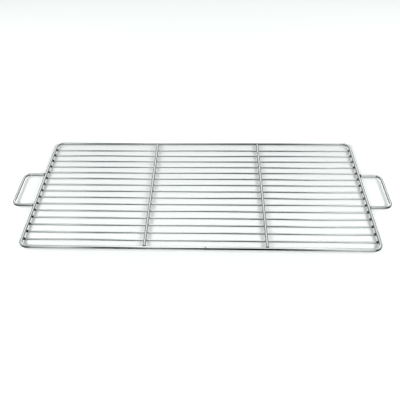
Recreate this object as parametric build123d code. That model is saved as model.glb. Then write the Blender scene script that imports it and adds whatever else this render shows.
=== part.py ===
from build123d import *
import os

# A welded wire cooking grate with a loop handle at each end.
# X runs along the grate, Y across it and Z up. The origin is on the resting
# plane, under the middle of the frame. All sizes are in millimetres.

# Perimeter frame
FRAME_LENGTH = 600.0         # over the outside of the short sides
FRAME_WIDTH = 250.0          # over the outside of the long sides
FRAME_ROD = 5.0              # rod diameter
FRAME_BEND = 12.0            # bend radius of the rod's centre line
SEAM_X = 12.0                # butt weld that closes the frame, on the front side

# Long cooking wires, under the frame and the cross bars
WIRE_COUNT = 15
WIRE_DIAMETER = 3.0
WIRE_PITCH = 15.15
WIRE_OVERHANG = 1.0          # past the centre line of the short sides

# Cross bars, level with the frame and on top of the wires
BAR_DIAMETER = 5.0
BAR_PLACES = {"left": -89.0, "right": 113.5}

# Loop handles, level with the frame
HANDLE_ROD = 5.0
HANDLE_REACH = 40.0          # from the short side's centre line to the grip's
HANDLE_WIDTH = 73.0          # between the centre lines of the two arms
HANDLE_BEND = 10.0           # bend radius of the rod's centre line

# Welds
PRESS_IN = 0.2               # how far a wire is pressed into the rod above it
BUTT_IN = 0.3                # how far a butted end is pressed into its rod
END_BEAD = 2.2               # bead radius where a wire meets a short side
END_BEAD_INBOARD = 0.9       # that bead sits towards the middle of the grate
BAR_BEAD = 1.8               # bead radius where a wire meets a cross bar
BUTT_BEAD = 2.3              # bead radius at the end of a cross bar
HANDLE_BEAD = 2.8            # bead radius at the end of a handle arm
STUB = 10.0                  # length of rod that a bead is shaped against
SEAM_WIDTH = 2.4
SEAM_PROUD = 0.15            # how far the seam stands out of the rod

wire_radius = WIRE_DIAMETER / 2
rod_radius = FRAME_ROD / 2
side_x = (FRAME_LENGTH - FRAME_ROD) / 2
side_y = (FRAME_WIDTH - FRAME_ROD) / 2
wire_z = wire_radius
weld_z = WIRE_DIAMETER - PRESS_IN / 2
frame_z = WIRE_DIAMETER - PRESS_IN + rod_radius
wire_rows = [WIRE_PITCH * ((WIRE_COUNT - 1) / 2 - i) for i in range(WIRE_COUNT)]
SIDES = {"left": -1, "right": 1}


def round_bar(start, end, diameter):
    """A straight round rod with flat ends."""
    start, end = Vector(*start), Vector(*end)
    plane = Plane(origin=start, z_dir=end - start)
    return extrude(plane * Circle(diameter / 2), (end - start).length)


def bent_rod(path, diameter):
    """A round rod swept along a path of straight runs and tangent arcs."""
    plane = Plane(origin=path @ 0, z_dir=path % 0)
    return sweep(plane * Circle(diameter / 2), path=path)


def bead(place, radius, *joined):
    """A weld bead that fills the corners between the pieces it joins."""
    solid = Pos(*place) * Sphere(radius)
    for piece in joined:
        solid = solid - piece
    return solid


def save(name, shapes):
    """Write one node, as one solid or as a group of separate solids."""
    solids = [solid for shape in shapes for solid in shape.solids()]
    node = solids[0] if len(solids) == 1 else Compound(children=solids)
    node.label = name
    export_step(node, f"parts/{name}.step")
    print(f"{name}: {len(solids)} solids, {sum(s.volume for s in solids):.1f} mm3")


def make_frame():
    """The closed rectangular ring of rod that everything is welded to."""
    ring = Pos(0, 0, frame_z) * RectangleRounded(2 * side_x, 2 * side_y, FRAME_BEND)
    return bent_rod(ring.wire(), FRAME_ROD)


def make_seam():
    """The low collar left where the two ends of the frame rod meet."""
    start = (SEAM_X - SEAM_WIDTH / 2, -side_y, frame_z)
    end = (SEAM_X + SEAM_WIDTH / 2, -side_y, frame_z)
    collar = round_bar(start, end, FRAME_ROD + 2 * SEAM_PROUD)
    return collar - round_bar(start, end, FRAME_ROD)


def make_cross_bar(x, frame):
    """A bar across the grate whose ends fit the frame's long sides."""
    reach = side_y - rod_radius + BUTT_IN
    return round_bar((x, -reach, frame_z), (x, reach, frame_z), BAR_DIAMETER) - frame


def make_handle(side, frame):
    """A U-shaped loop whose two arms fit against a short side of the frame."""
    inner = side * (side_x + rod_radius - BUTT_IN)
    outer = side * (side_x + HANDLE_REACH)
    half = HANDLE_WIDTH / 2
    corners = [(inner, -half), (outer, -half), (outer, half), (inner, half)]
    path = FilletPolyline(*[(x, y, frame_z) for x, y in corners], radius=HANDLE_BEND)
    return bent_rod(path, HANDLE_ROD) - frame


def make_wire(frame, bars):
    """The wire on the centre line, with a shallow seat under each rod."""
    reach = side_x + WIRE_OVERHANG
    wire = round_bar((-reach, 0, wire_z), (reach, 0, wire_z), WIRE_DIAMETER)
    for rod in [frame, *bars]:
        wire = wire - rod
    return wire


def make_crossing_bead(radius, shift, wire_end):
    """The bead where a wire passes under a rod, with the crossing at X = 0."""
    rod = round_bar((0, -STUB, frame_z), (0, STUB, frame_z), FRAME_ROD)
    wire = round_bar((-STUB, 0, wire_z), (wire_end, 0, wire_z), WIRE_DIAMETER)
    return bead((shift, 0, weld_z), radius, rod, wire)


def row_of(shape, x, turn=0):
    """The same shape under one rod at every wire, turned about Z."""
    return [Pos(x, y, 0) * Rot(0, 0, turn) * shape for y in wire_rows]


os.makedirs("parts", exist_ok=True)

frame = make_frame()
bars = {name: make_cross_bar(x, frame) for name, x in BAR_PLACES.items()}
handles = {name: make_handle(side, frame) for name, side in SIDES.items()}
wire = make_wire(frame, bars.values())

save("perimeter_frame", [frame])
save("frame_seam_weld", [make_seam()])
for number, y in enumerate(wire_rows, start=1):
    save(f"cooking_wire_{number:02d}", [Pos(0, y, 0) * wire])
for name, bar in bars.items():
    save(f"cross_bar_{name}", [bar])
for name, handle in handles.items():
    save(f"handle_{name}", [handle])

end_bead = make_crossing_bead(END_BEAD, -END_BEAD_INBOARD, WIRE_OVERHANG)
save("wire_end_welds_right", row_of(end_bead, side_x))
save("wire_end_welds_left", row_of(end_bead, -side_x, turn=180))

bar_bead = make_crossing_bead(BAR_BEAD, 0, STUB)
for name, x in BAR_PLACES.items():
    save(f"wire_to_bar_welds_{name}", row_of(bar_bead, x))

bar_ends = [(name, x, sign * (side_y - rod_radius))
            for name, x in BAR_PLACES.items() for sign in (1, -1)]
save("cross_bar_end_welds", [bead((x, y, frame_z), BUTT_BEAD, frame, bars[name])
                             for name, x, y in bar_ends])

for name, side in SIDES.items():
    arm_ends = [(side * (side_x + rod_radius), y) for y in (HANDLE_WIDTH / 2, -HANDLE_WIDTH / 2)]
    save(f"handle_welds_{name}", [bead((x, y, frame_z), HANDLE_BEAD, frame, handles[name])
                                  for x, y in arm_ends])
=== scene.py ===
import math
import random

import bmesh
import bpy
import numpy as np
from mathutils import Matrix, Vector, noise


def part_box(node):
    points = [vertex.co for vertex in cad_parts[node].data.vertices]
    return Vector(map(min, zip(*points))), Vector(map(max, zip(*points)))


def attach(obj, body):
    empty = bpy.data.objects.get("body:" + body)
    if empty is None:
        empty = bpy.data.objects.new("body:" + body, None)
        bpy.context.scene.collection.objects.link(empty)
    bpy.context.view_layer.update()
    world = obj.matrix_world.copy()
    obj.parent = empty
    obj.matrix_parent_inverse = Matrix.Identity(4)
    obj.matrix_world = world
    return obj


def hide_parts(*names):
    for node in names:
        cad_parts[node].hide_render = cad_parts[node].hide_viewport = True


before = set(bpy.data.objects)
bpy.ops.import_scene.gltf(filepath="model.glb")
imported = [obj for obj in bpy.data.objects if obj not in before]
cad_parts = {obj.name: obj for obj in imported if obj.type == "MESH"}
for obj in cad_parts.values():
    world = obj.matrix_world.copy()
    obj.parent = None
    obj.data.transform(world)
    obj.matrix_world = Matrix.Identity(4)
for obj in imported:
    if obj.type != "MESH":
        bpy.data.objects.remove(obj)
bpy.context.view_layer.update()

# A stainless welded cooking grate on a pale studio floor.
# The CAD nodes give the places and sizes of the rods and wires. Here the rods,
# wires and welds get their finished shapes and their metal. Lengths are in metres.

MM = 0.001

# Rods and wires
FRAME_BEND = 12 * MM          # bend radius of the frame rod's centre line
HANDLE_BEND = 10 * MM         # bend radius of the handles
DENSE_STEP = 0.5 * MM         # spacing of the points that a path is laid out with
FINE_STEP = 0.9 * MM          # ring spacing at welds and bends
COARSE_STEP = 9 * MM          # ring spacing on long straight runs
CROWDING = 0.35               # how fast the spacing grows away from a weld
STRAIGHT_WITHIN = 0.01 * MM   # how far three points may be out of line on a straight run
ROD_SIDES = 24
WIRE_SIDES = 18
WIRE_BOW = 0.6 * MM           # sideways bow of a wire between two welds
WIRE_LIFT = 0.12 * MM         # how far a wire bows up between two welds
END_ROUNDING = 0.5            # the rounding at a sawn end, as a share of the radius
NOSE_ANGLES = (75, 50, 25, 0)  # where that rounding has its rings, in degrees from the side

# Welds
END_BEAD = 2.3 * MM           # where a wire meets a short side
END_BEAD_INBOARD = 2.0 * MM   # that bead sits towards the middle of the grate
BAR_BEAD = 2.0 * MM           # where a wire meets a cross bar
BUTT_BEAD = 2.5 * MM          # at the ends of a cross bar
HANDLE_BEAD = 2.8 * MM        # at the ends of the handle arms
HEAT_AND_SHADE_REACH = 2.3 * MM         # how far the heat tint and painted shade spread from a weld
SEAM_X = 12 * MM              # the butt weld that closes the frame rod
SEAM_PROUD = 1.06             # its radius, as a share of the rod's
SIZE_SPREAD = (0.9, 1.1)      # the sizes of single beads, as shares of their kind's
HEAT_AND_SHADE_SPREAD = (0.75, 1.1)     # how strongly single welds tint and shade the metal
LUMPS = ((0.16, 1.6), (0.05, 5))  # the depth and fineness of the unevenness of a bead
# How far each kind of bead is stretched along X, Y and Z
END_SHAPE = (1.0, 0.95, 0.85)
BAR_SHAPE = (1.3, 1.0, 0.7)
BUTT_SHAPE = (1.15, 0.8, 0.95)
HANDLE_SHAPE = (0.8, 1, 0.95)
SEAM_SHAPE = (0.45, 1, 1)

# Metal
STEEL = (0.74, 0.79, 0.775)   # its colour
LINE_SHADE = 0.84             # the drawn lines' tone, as a share of it
LINE_SCALE = (25, 1500, 1500)  # how fine they are, first along the rod and then round it
ROD_LINES = 0.008 * MM        # their depth on the rods
WIRE_LINES = 0.006 * MM       # and on the wires
POLISH = 0.10                 # the roughness of clean steel
HEAT_ROUGHNESS = 0.3          # what the strongest heat adds to it
# Heat tint beside the welds, darkening to painted shade close in where wire and rod meet
HEAT_TINTS_AND_PAINTED_SHADE = [(0.0, (1, 1, 1)), (0.25, (0.95, 0.92, 0.87)), (0.5, (0.52, 0.46, 0.41)),
              (0.75, (0.18, 0.175, 0.18)), (1.0, (0.10, 0.10, 0.11))]
WELD_GRAIN = 0.15 * MM        # the depth of the grain of weld metal
WELD_DARK = (0.012, 0.012, 0.013)
WELD_LIGHT = (0.055, 0.053, 0.052)

# Camera
CAMERA_PLACE = Vector((21.56, -422.79, 523.45)) * MM
CAMERA_ANGLES = (-2.964, 52.299, -1.949)  # turn to the right, tip down and roll, in degrees
CAMERA_LENS = 32.67           # focal length in millimetres
CAMERA_SENSOR = 36.0          # width in millimetres

# Soft lights: place, aim, width, height and power in watts
SIDE_LIGHT = ((0.78, -0.26, 0.61), (0.3, 0.0, 0.0), 1.0, 0.14, 7.0)  # the right one of the pair
BACK_LIGHT = ((0.0, 0.75, 0.95), (0.0, 0.0, 0.0), 1.0, 0.6, 0.8)
FRONT_LIGHT = ((0.0, -0.75, 0.35), (0.0, -0.1, 0.0), 1.2, 0.2, 0.6)

# Floor. It glows by itself, and less under and close round the grate: painted shade for the grate's soft
# shadow.
FLOOR_REACH = 8.0             # half its width
FLOOR_HEIGHT = -0.05 * MM     # just clear of the wires
FLOOR_COLOUR = (0.775, 0.80, 0.793, 1)
GLOW_COLOUR = (0.965, 1.0, 0.99, 1)
OPEN_GLOW = 0.57              # clear of the grate
GLOW_WITH_PAINTED_SHADE = [(0.0, 0.26), (0.12, 0.23), (0.20, 0.20), (0.27, 0.18), (0.292, 0.17),
              (0.304, 0.28), (0.322, 0.22), (0.35, OPEN_GLOW)]  # by the distance along X, lower under the grate as painted shade
GLOW_PAST_SIDES = (0.112, 0.140)  # where it rises to full, across the long side at the back
GLOW_PAST_ENDS = (0.298, 0.316)  # and across the short sides
GLOW_PAST_ARMS = (0.040, 0.060)  # but there only clear of the handle's arms, along Y
FRONT_SHADE = 24 * MM         # how much further out it rises at the front than at the back

# World. The camera sees a plain backdrop, and the metal mirrors a room of its own.
DOME = 0.15                   # light from all round
BACKDROP = 0.92               # what the camera sees beyond the floor
ROOM = 1.6                    # how bright the mirrored room is
LOW_GREY = (0.14, 0.14, 0.14, 1)  # the room's low back corners
ASIDE, BEHIND, LOW = (0.35, 0.5), (-0.1, 0.1), (0.2, 0.45)  # where they begin along X, Y and Z
# Across the room, from -1 at the left to 1 at the right: the front's patches of
# light, and how bright the back and ceiling are.
FRONT_PATCHES = [(-1.0, 0.05), (-0.48, 0.05), (-0.43, 0.50), (-0.38, 0.66), (-0.32, 0.18),
                 (-0.29, 0.0), (-0.21, 0.0), (-0.165, 0.28), (-0.10, 0.14), (-0.03, 0.0),
                 (0.20, 0.0), (0.26, 0.14), (0.32, 0.55), (0.36, 0.74), (0.40, 0.62),
                 (0.44, 0.10), (0.52, 0.0), (1.0, 0.0)]
BACK_LEVELS = [(-1.0, 0.50), (-0.58, 0.36), (-0.45, 0.50), (-0.34, 0.55), (-0.20, 0.97),
               (-0.02, 0.97), (0.05, 0.72), (0.17, 0.66), (0.26, 0.97), (0.34, 0.66),
               (0.43, 0.40), (0.58, 0.32), (1.0, 0.50)]
# Over the room from front to back, as a share of a turn that starts straight down:
# 0.25 is level with the front, 0.5 is overhead and 0.75 is level with the back.
FRONT_RISE = [(0.0, 0.12), (0.10, 0.12), (0.194, 0.40), (0.25, 0.75), (0.30, 1.0),
              (0.40, 1.0), (0.48, 0.60), (0.56, 0.0), (1.0, 0.0)]
BACK_RISE = [(0.0, 0.0), (0.380, 0.0), (0.426, 0.13), (0.462, 0.43), (0.498, 0.75),
             (0.542, 0.90), (0.610, 0.97), (1.0, 0.97)]

LEFT_RIGHT = {"left": -1, "right": 1}
WIRE_NODES = sorted(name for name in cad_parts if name.startswith("cooking_wire_"))


# ---------------------------------------------------------------- places

def middle(node):
    """The middle of a CAD node's box."""
    low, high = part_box(node)
    return (low + high) / 2


def size(node):
    """The size of a CAD node's box."""
    low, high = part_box(node)
    return high - low


frame_size = size("perimeter_frame")
rod_radius = frame_size.z / 2
wire_radius = size(WIRE_NODES[0]).z / 2
side_x = frame_size.x / 2 - rod_radius
side_y = frame_size.y / 2 - rod_radius
frame_z = middle("perimeter_frame").z
wire_rows = [middle(name).y for name in WIRE_NODES]
wire_z = middle(WIRE_NODES[0]).z
wire_end = size(WIRE_NODES[0]).x / 2
weld_z = (wire_z + wire_radius + frame_z - rod_radius) / 2
bar_x = {name: middle(f"cross_bar_{name}").x for name in LEFT_RIGHT}
grip_x = max(abs(corner.x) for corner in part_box("handle_right")) - rod_radius
arm_y = size("handle_right").y / 2 - rod_radius
arm_x = side_x + rod_radius

end_welds = {name: [Vector((side * (side_x - END_BEAD_INBOARD), y, weld_z)) for y in wire_rows]
             for name, side in LEFT_RIGHT.items()}
bar_welds = {name: [Vector((x, y, weld_z)) for y in wire_rows] for name, x in bar_x.items()}
bar_end_welds = [Vector((x, sign * (side_y - rod_radius), frame_z))
                 for x in bar_x.values() for sign in (1, -1)]
handle_welds = {name: [Vector((side * arm_x, y, frame_z)) for y in (arm_y, -arm_y)]
                for name, side in LEFT_RIGHT.items()}
seam_place = Vector((SEAM_X, -side_y, frame_z))
all_welds = (end_welds["left"] + end_welds["right"] + bar_welds["left"] + bar_welds["right"]
             + bar_end_welds + handle_welds["left"] + handle_welds["right"] + [seam_place])
weld_points = np.array(all_welds)
weld_random = random.Random(11)
weld_strengths = np.array([weld_random.uniform(*HEAT_AND_SHADE_SPREAD) for _ in all_welds])


# ---------------------------------------------------------------- meshes

def straight(start, end):
    """Closely spaced points from start up to, but not at, end."""
    count = max(1, round((end - start).length / DENSE_STEP))
    return [start.lerp(end, i / count) for i in range(count)]


def full_run(start, end):
    """Closely spaced points from start to end."""
    return straight(start, end) + [end]


def bent_path(corners, bend, closed=False):
    """Straight runs joined by square bends, as closely spaced points."""
    corners = [Vector(corner) for corner in corners]
    if closed:
        start = end = corners[0].lerp(corners[-1], 0.5)
    else:
        start, *corners, end = corners
    points, last = [], start
    steps = round(bend * math.pi / 2 / DENSE_STEP)
    for corner, following in zip(corners, corners[1:] + [end]):
        before = (last - corner).normalized()
        after = (following - corner).normalized()
        centre = corner + (before + after) * bend
        points += straight(last, corner + before * bend)
        for step in range(steps):
            angle = math.pi / 2 * step / steps
            points.append(centre - after * bend * math.cos(angle) - before * bend * math.sin(angle))
        last = corner + after * bend
    return points + (straight(last, end) if closed else full_run(last, end))


def thinned(path):
    """The path with its points close together at welds and bends, and further apart between."""
    points = np.array(path)
    reach = np.linalg.norm(points[:, None] - weld_points[None], axis=2).min(axis=1)
    kept, travelled = [0], 0.0
    for i in range(1, len(path) - 1):
        travelled += np.linalg.norm(points[i] - points[i - 1])
        bend = np.linalg.norm(points[i + 1] - 2 * points[i] + points[i - 1]) > STRAIGHT_WITHIN
        allowed = FINE_STEP if bend else min(COARSE_STEP, FINE_STEP + CROWDING * reach[i])
        if travelled >= allowed:
            kept.append(i)
            travelled = 0.0
    kept.append(len(path) - 1)
    return points[kept]


def heat_and_shade_at(points):
    """How strongly the nearest welds tint and shade each point, from 0 to just over 1: heat tint, and
    painted shade close in where the parts meet.
    """
    distance = np.linalg.norm(points[:, None] - weld_points[None], axis=2)
    return (weld_strengths[None] * np.exp(-(distance / HEAT_AND_SHADE_REACH) ** 2)).max(axis=1)


def finish_mesh(name, verts, faces, flat=(), places=None):
    """A smooth mesh object with its heat tint and painted shade, and its place along the rod, as attributes.
    """
    mesh = bpy.data.meshes.new(name)
    mesh.from_pydata([tuple(v) for v in verts], [], faces)
    mesh.update()
    mesh.polygons.foreach_set("use_smooth", [i not in flat for i in range(len(faces))])
    # heat tint and painted shade beside the welds
    heat_and_shade = mesh.attributes.new("weld_heat_and_shade", "FLOAT", "POINT")
    heat_and_shade.data.foreach_set("value", heat_and_shade_at(np.array(verts)).astype(np.float32))
    if places is not None:
        along = mesh.attributes.new("rod_place", "FLOAT_VECTOR", "POINT")
        along.data.foreach_set("vector", np.array(places, np.float32).ravel())
    piece = bpy.data.objects.new(name, mesh)
    bpy.context.scene.collection.objects.link(piece)
    return piece


def unit(vectors):
    """Each row at length 1."""
    return vectors / np.linalg.norm(vectors, axis=1)[:, None]


def tube(name, path, radius, sides, closed=False):
    """A round rod along a nearly level path, with rounded sawn ends unless it is closed."""
    path = np.array(path)
    if closed:
        path = path[:-1]      # its last point is close beside its first
    count = len(path)
    ahead = np.roll(path, -1, axis=0) - path
    behind = path - np.roll(path, 1, axis=0)
    if not closed:
        ahead[-1] = behind[-1]
        behind[0] = ahead[0]
    tangent = unit(unit(ahead) + unit(behind))
    across = unit(np.cross([0, 0, 1], tangent))
    above = np.cross(tangent, across)
    along = np.concatenate([[0], np.cumsum(np.linalg.norm(np.diff(path, axis=0), axis=1))])

    # Each ring has its point on the path, a shift along it and a share of the radius
    rings = [(i, 0.0, 1.0) for i in range(count)]
    if not closed:
        nose = [(END_ROUNDING * radius * (1 - math.sin(angle)), 1 - END_ROUNDING * (1 - math.cos(angle)))
                for angle in map(math.radians, NOSE_ANGLES)]
        rings = ([(0, shift, share) for shift, share in nose] + rings[1:-1]
                 + [(count - 1, -shift, share) for shift, share in reversed(nose)])
    verts, places = [], []
    for i, shift, share in rings:
        for side in range(sides):
            angle = math.tau * side / sides
            out = across[i] * math.cos(angle) + above[i] * math.sin(angle)
            verts.append(path[i] + tangent[i] * shift + out * radius * share)
            places.append((along[i] + shift, radius * math.cos(angle), radius * math.sin(angle)))
    faces = []
    last = len(rings) if closed else len(rings) - 1
    for ring in range(last):
        here, there = ring * sides, (ring + 1) % len(rings) * sides
        for side in range(sides):
            beside = (side + 1) % sides
            faces.append((here + side, here + beside, there + beside, there + side))
    flat = set()
    if not closed:
        flat = {len(faces), len(faces) + 1}
        faces.append(tuple(reversed(range(sides))))
        faces.append(tuple(range(len(verts) - sides, len(verts))))
    return finish_mesh(name, verts, faces, flat, places)


def wire_path(y, seed):
    """A wire's centre line, with a slight bow of its own in each bay."""
    chance = random.Random(seed)
    stops = [-wire_end, bar_x["left"], bar_x["right"], wire_end]
    path = full_run(Vector((-wire_end, y, wire_z)), Vector((wire_end, y, wire_z)))
    for start, end in zip(stops, stops[1:]):
        bow = chance.uniform(-WIRE_BOW, WIRE_BOW)
        lift = chance.uniform(0, WIRE_LIFT)
        for point in path:
            if start < point.x <= end:
                swell = math.sin(math.pi * (point.x - start) / (end - start)) ** 2
                point.y += bow * swell
                point.z += lift * swell
    return path


def beads(name, places, radius, shape, seed):
    """Lumps of weld metal, each a little different, as one mesh."""
    chance = random.Random(seed)
    verts, faces = [], []
    lump = bmesh.new()
    bmesh.ops.create_icosphere(lump, subdivisions=3, radius=1)
    base = [v.co.copy() for v in lump.verts]
    base_faces = [tuple(v.index for v in face.verts) for face in lump.faces]
    lump.free()
    for place in places:
        offset = Vector([chance.uniform(-50, 50) for _ in range(3)])
        grow = chance.uniform(*SIZE_SPREAD)
        first = len(verts)
        for co in base:
            swell = sum((depth * noise.noise(co * fineness + offset) for depth, fineness in LUMPS), 1)
            scaled = Vector([c * s for c, s in zip(co, shape)])
            verts.append(place + scaled * radius * grow * swell)
        faces += [tuple(first + i for i in face) for face in base_faces]
    return finish_mesh(name, verts, faces)


# ---------------------------------------------------------------- materials

def add(tree, kind, inputs=None, **settings):
    """A node with its settings. An input given a socket is linked, and another is set."""
    made = tree.nodes.new(kind)
    for key, value in settings.items():
        setattr(made, key, value)
    for key, value in (inputs or {}).items():
        if isinstance(value, bpy.types.NodeSocket):
            tree.links.new(value, made.inputs[key])
        else:
            made.inputs[key].default_value = value
    return made


def ramp(tree, factor, stops, smooth="LINEAR"):
    """A colour ramp whose stops are (position, grey or colour)."""
    made = add(tree, "ShaderNodeValToRGB", {"Fac": factor})
    made.color_ramp.interpolation = smooth
    elements = made.color_ramp.elements
    while len(elements) < len(stops):
        elements.new(0.5)
    for element, (position, colour) in zip(elements, stops):
        element.position = position
        element.color = (*colour, 1) if isinstance(colour, tuple) else (colour, colour, colour, 1)
    return made.outputs["Color"]


def between(tree, value, low, high, to_low=0.0, to_high=1.0, smooth=True):
    """A value carried from one range to another, eased at both ends."""
    made = add(tree, "ShaderNodeMapRange",
               {"Value": value, "From Min": low, "From Max": high, "To Min": to_low, "To Max": to_high},
               interpolation_type="SMOOTHSTEP" if smooth else "LINEAR")
    return made.outputs["Result"]


def math_node(tree, operation, a, b=0.0):
    """One operation on two numbers, or on one."""
    return add(tree, "ShaderNodeMath", {0: a, 1: b}, operation=operation).outputs[0]


def mixed(tree, factor, a, b, kind="MIX"):
    """Colour b laid over colour a: blended in, multiplied or added."""
    made = add(tree, "ShaderNodeMix", {"Factor": factor, "A": a, "B": b},
               data_type="RGBA", blend_type=kind)
    return made.outputs["Result"]


def new_material(name):
    """A material with an empty node tree."""
    material = bpy.data.materials.new(name)
    material.use_nodes = True
    material.node_tree.nodes.clear()
    return material


def steel(name, line_depth):
    """Drawn stainless: fine lines along the rod, slight clouding, and heat tint beside the welds that
    darkens into painted shade where the parts meet.
    """
    material = new_material(name)
    tree = material.node_tree
    place = add(tree, "ShaderNodeAttribute", attribute_name="rod_place").outputs["Vector"]
    heat_and_shade = add(tree, "ShaderNodeAttribute", attribute_name="weld_heat_and_shade").outputs["Fac"]
    stretched = add(tree, "ShaderNodeMapping", {"Vector": place, "Scale": LINE_SCALE})
    lines = add(tree, "ShaderNodeTexNoise",
                {"Vector": stretched.outputs[0], "Scale": 1.0, "Detail": 4.0, "Roughness": 0.6})
    clouds = add(tree, "ShaderNodeTexNoise",
                 {"Vector": place, "Scale": 60.0, "Detail": 3.0, "Roughness": 0.55})
    shade = ramp(tree, lines.outputs["Fac"], [(0.3, tuple(c * LINE_SHADE for c in STEEL)), (0.7, STEEL)])
    # heat tint, darkening to painted shade close to the welds
    tinted_and_shaded = mixed(tree, 1.0, shade, ramp(tree, heat_and_shade, HEAT_TINTS_AND_PAINTED_SHADE), "MULTIPLY")
    rough = between(tree, clouds.outputs["Fac"], 0.3, 0.7, POLISH * 0.75, POLISH * 1.3)
    rough = math_node(tree, "ADD", rough, math_node(tree, "MULTIPLY", heat_and_shade, HEAT_ROUGHNESS))
    bump = add(tree, "ShaderNodeBump", {"Height": lines.outputs["Fac"], "Distance": line_depth,
                                        "Strength": 0.5})
    shader = add(tree, "ShaderNodeBsdfPrincipled",
                 {"Base Color": tinted_and_shaded, "Metallic": 1.0, "Roughness": rough,
                  "Normal": bump.outputs["Normal"]})
    add(tree, "ShaderNodeOutputMaterial", {"Surface": shader.outputs[0]})
    return material


def weld_metal(name):
    """Weld metal: grainy, dull and dark, with a few brighter patches."""
    material = new_material(name)
    tree = material.node_tree
    place = add(tree, "ShaderNodeTexCoord").outputs["Object"]
    grain = add(tree, "ShaderNodeTexNoise",
                {"Vector": place, "Scale": 1400.0, "Detail": 4.0, "Roughness": 0.6})
    patches = add(tree, "ShaderNodeTexNoise", {"Vector": place, "Scale": 500.0, "Detail": 2.0})
    colour = ramp(tree, patches.outputs["Fac"], [(0.35, WELD_DARK), (0.7, WELD_LIGHT)])
    rough = between(tree, grain.outputs["Fac"], 0.3, 0.7, 0.38, 0.62)
    bump = add(tree, "ShaderNodeBump", {"Height": grain.outputs["Fac"], "Distance": WELD_GRAIN,
                                        "Strength": 0.6})
    shader = add(tree, "ShaderNodeBsdfPrincipled",
                 {"Base Color": colour, "Metallic": 0.85, "Roughness": rough,
                  "Normal": bump.outputs["Normal"]})
    add(tree, "ShaderNodeOutputMaterial", {"Surface": shader.outputs[0]})
    return material


rod_steel = steel("rod_steel", ROD_LINES)
wire_steel = steel("wire_steel", WIRE_LINES)
weld_steel = weld_metal("weld_steel")


def place_piece(piece, material, slot, *nodes):
    """Gives a piece its metal and lets it stand for its CAD nodes on the one body."""
    piece.data.materials.append(material)
    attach(piece, "root")
    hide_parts(*nodes)


# ---------------------------------------------------------------- the grate

corners = [(side_x, -side_y, frame_z), (side_x, side_y, frame_z),
           (-side_x, side_y, frame_z), (-side_x, -side_y, frame_z)]
ring = thinned(bent_path(corners, FRAME_BEND, closed=True))
place_piece(tube("frame_rod", ring, rod_radius, ROD_SIDES, closed=True),
            rod_steel, "rod_steel", "perimeter_frame")

for name, x in bar_x.items():
    node = f"cross_bar_{name}"
    reach = size(node).y / 2
    run = full_run(Vector((x, -reach, frame_z)), Vector((x, reach, frame_z)))
    place_piece(tube(f"bar_rod_{name}", thinned(run), rod_radius, ROD_SIDES),
                rod_steel, "rod_steel", node)

for name, side in LEFT_RIGHT.items():
    corners = [(side * side_x, -arm_y, frame_z), (side * grip_x, -arm_y, frame_z),
               (side * grip_x, arm_y, frame_z), (side * side_x, arm_y, frame_z)]
    path = thinned(bent_path(corners, HANDLE_BEND))
    place_piece(tube(f"handle_rod_{name}", path, rod_radius, ROD_SIDES),
                rod_steel, "rod_steel", f"handle_{name}")

for number, (node, y) in enumerate(zip(WIRE_NODES, wire_rows), start=1):
    piece = tube(f"wire_{number:02d}", thinned(wire_path(y, number)), wire_radius, WIRE_SIDES)
    place_piece(piece, wire_steel, "wire_steel", node)

for number, name in enumerate(LEFT_RIGHT, start=1):
    place_piece(beads(f"end_beads_{name}", end_welds[name], END_BEAD, END_SHAPE, number),
                weld_steel, "weld_steel", f"wire_end_welds_{name}")
    place_piece(beads(f"bar_beads_{name}", bar_welds[name], BAR_BEAD, BAR_SHAPE, 10 + number),
                weld_steel, "weld_steel", f"wire_to_bar_welds_{name}")
    place_piece(beads(f"handle_beads_{name}", handle_welds[name], HANDLE_BEAD, HANDLE_SHAPE,
                      20 + number), weld_steel, "weld_steel", f"handle_welds_{name}")
place_piece(beads("bar_end_beads", bar_end_welds, BUTT_BEAD, BUTT_SHAPE, 30),
            weld_steel, "weld_steel", "cross_bar_end_welds")
place_piece(beads("seam_bead", [seam_place], rod_radius * SEAM_PROUD, SEAM_SHAPE, 31),
            weld_steel, "weld_steel", "frame_seam_weld")


# ---------------------------------------------------------------- studio

def soft_light(name, side, place, aim, width, height, power):
    """A rectangular soft light that the camera and the metal don't see. Side -1 mirrors it."""
    place, aim = (Vector((side * x, y, z)) for x, y, z in (place, aim))
    data = bpy.data.lights.new(name, "AREA")
    data.shape = "RECTANGLE"
    data.size, data.size_y, data.energy = width, height, power
    light = bpy.data.objects.new(name, data)
    light.location = place
    light.rotation_euler = (aim - place).to_track_quat("-Z", "Y").to_euler()
    light.visible_camera = False
    light.visible_glossy = False
    bpy.context.scene.collection.objects.link(light)


def across_room(tree, x, stops):
    """A grey that changes across the mirrored room."""
    share = between(tree, x, -1.0, 1.0, smooth=False)
    return ramp(tree, share, [((stop + 1) / 2, grey) for stop, grey in stops])


def mirrored_room(tree):
    """What the metal mirrors: a patchy front, a bright back and ceiling, and dim low back corners."""
    direction = add(tree, "ShaderNodeTexCoord").outputs["Generated"]
    xyz = add(tree, "ShaderNodeSeparateXYZ", {"Vector": direction}).outputs
    x, y, z = (xyz[axis] for axis in "XYZ")
    turn = between(tree, math_node(tree, "ARCTAN2", y, z), -math.pi, math.pi, smooth=False)
    front = mixed(tree, 1.0, across_room(tree, x, FRONT_PATCHES), ramp(tree, turn, FRONT_RISE), "MULTIPLY")
    back = mixed(tree, 1.0, ramp(tree, turn, BACK_RISE), across_room(tree, x, BACK_LEVELS), "MULTIPLY")
    room = mixed(tree, 1.0, back, front, "ADD")
    aside = between(tree, math_node(tree, "ABSOLUTE", x), *ASIDE)
    behind = between(tree, y, *BEHIND)
    low = between(tree, z, *LOW, 1.0, 0.0)
    corner = math_node(tree, "MULTIPLY", math_node(tree, "MULTIPLY", aside, behind), low)
    return mixed(tree, corner, room, LOW_GREY)


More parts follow.
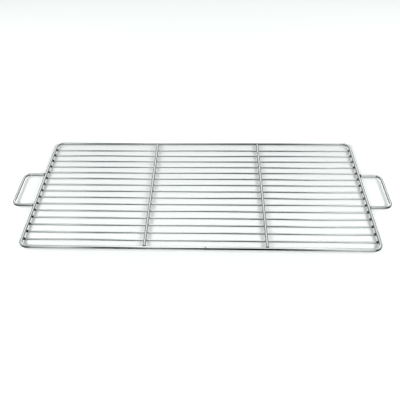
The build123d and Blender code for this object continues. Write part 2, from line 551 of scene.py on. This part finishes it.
def studio_world():
    """A plain backdrop and a faint dome of light, with the room that only the metal mirrors."""
    world = bpy.data.worlds.new("studio")
    bpy.context.scene.world = world
    world.use_nodes = True
    tree = world.node_tree
    tree.nodes.clear()
    mirrored = add(tree, "ShaderNodeBackground", {"Color": mirrored_room(tree), "Strength": ROOM})
    rays = add(tree, "ShaderNodeLightPath").outputs
    seen = between(tree, rays["Is Camera Ray"], 0.0, 1.0, DOME, BACKDROP)
    plain = add(tree, "ShaderNodeBackground", {"Color": (1.0, 1.0, 1.0, 1), "Strength": seen})
    surface = add(tree, "ShaderNodeMixShader",
                  {0: rays["Is Glossy Ray"], 1: plain.outputs[0], 2: mirrored.outputs[0]})
    add(tree, "ShaderNodeOutputWorld", {"Surface": surface.outputs[0]})


def floor_glow_and_painted_shade(tree):
    """The floor's own light, dimmed under the grate and close round it as painted shade."""
    place = add(tree, "ShaderNodeTexCoord").outputs["Object"]
    xyz = add(tree, "ShaderNodeSeparateXYZ", {"Vector": place}).outputs
    along = math_node(tree, "ABSOLUTE", xyz["X"])
    across = math_node(tree, "MAXIMUM", xyz["Y"], math_node(tree, "SUBTRACT", -FRONT_SHADE, xyz["Y"]))
    past_arms = between(tree, math_node(tree, "ABSOLUTE", xyz["Y"]), *GLOW_PAST_ARMS)
    past_ends = math_node(tree, "MULTIPLY", between(tree, along, *GLOW_PAST_ENDS, 0.0, OPEN_GLOW), past_arms)
    past_sides = between(tree, across, *GLOW_PAST_SIDES, 0.0, OPEN_GLOW)
    outside = math_node(tree, "MAXIMUM", past_ends, past_sides)
    return math_node(tree, "MAXIMUM", ramp(tree, along, GLOW_WITH_PAINTED_SHADE, "EASE"), outside)


def studio_floor():
    """A pale matt floor, which the metal doesn't mirror."""
    mesh = bpy.data.meshes.new("floor")
    square = [(-1, -1), (1, -1), (1, 1), (-1, 1)]
    mesh.from_pydata([(x * FLOOR_REACH, y * FLOOR_REACH, FLOOR_HEIGHT) for x, y in square],
                     [], [(0, 1, 2, 3)])
    floor = bpy.data.objects.new("floor", mesh)
    bpy.context.scene.collection.objects.link(floor)
    material = bpy.data.materials.new("pale_floor")
    material.use_nodes = True
    tree = material.node_tree
    shader = tree.nodes["Principled BSDF"]
    shader.inputs["Base Color"].default_value = FLOOR_COLOUR
    shader.inputs["Roughness"].default_value = 0.9
    shader.inputs["Specular IOR Level"].default_value = 0.0
    shader.inputs["Emission Color"].default_value = GLOW_COLOUR
    tree.links.new(floor_glow_and_painted_shade(tree), shader.inputs["Emission Strength"])
    mesh.materials.append(material)
    floor.visible_glossy = False


def studio_camera():
    """The camera, from above the front, turned and rolled a little."""
    heading, pitch, roll = (math.radians(angle) for angle in CAMERA_ANGLES)
    forward = Vector((math.sin(heading) * math.cos(pitch), math.cos(heading) * math.cos(pitch),
                      -math.sin(pitch)))
    level = Vector((math.cos(heading), -math.sin(heading), 0))
    upright = level.cross(forward)
    right = level * math.cos(roll) + upright * math.sin(roll)
    up = upright * math.cos(roll) - level * math.sin(roll)
    data = bpy.data.cameras.new("camera")
    data.lens, data.sensor_width = CAMERA_LENS, CAMERA_SENSOR
    data.clip_start = 10 * MM
    camera = bpy.data.objects.new("camera", data)
    camera.matrix_world = Matrix((right, up, -forward)).transposed().to_4x4()
    camera.location = CAMERA_PLACE
    bpy.context.scene.collection.objects.link(camera)
    bpy.context.scene.camera = camera


bpy.context.scene.view_settings.view_transform = "Standard"
studio_world()
studio_floor()
studio_camera()
for name, side in LEFT_RIGHT.items():
    soft_light(f"{name}_light", side, *SIDE_LIGHT)
soft_light("back_light", 1, *BACK_LIGHT)
soft_light("front_light", 1, *FRONT_LIGHT)
